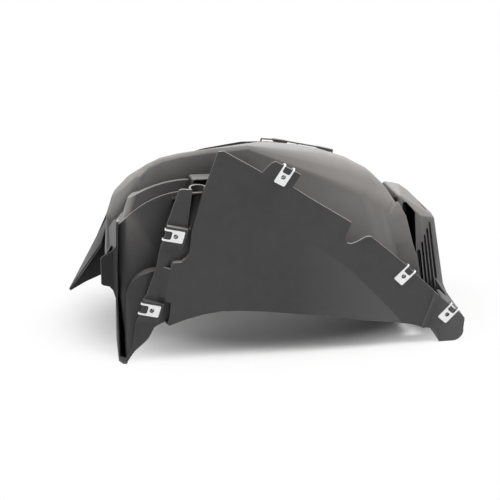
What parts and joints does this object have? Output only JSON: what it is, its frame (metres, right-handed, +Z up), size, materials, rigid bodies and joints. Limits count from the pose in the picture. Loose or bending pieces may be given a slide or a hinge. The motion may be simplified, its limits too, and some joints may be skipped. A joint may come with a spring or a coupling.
{
  "type": "wheel arch liner",
  "caption": "Moulded black plastic front wheel arch liner section with a flat leaning panel, stepped near wall, louvred side vent, flanged rim and steel clip nuts along the panel's edges.",
  "frame": {"origin": "centre of the bounding box's base, on the ground the liner rests on, wheel side down", "axes": "+X along the flat panel from the foot to the louvred vent, +Y from the flat panel to the far rim, +Z up"},
  "size_m": [0.5425, 0.4044, 0.2979],
  "materials": {
    "moulding": "fine-grained black polypropylene with a satin sheen",
    "clip_nut": "bright zinc-plated spring steel sheet"
  },
  "bodies": {
    "root": {"liner": "moulding", "clip_nut_top": "clip_nut", "clip_nut_left_upper": "clip_nut", "clip_nut_left_lower": "clip_nut", "clip_nut_right_upper": "clip_nut", "clip_nut_right_lower": "clip_nut"}
  },
  "joints": []
}
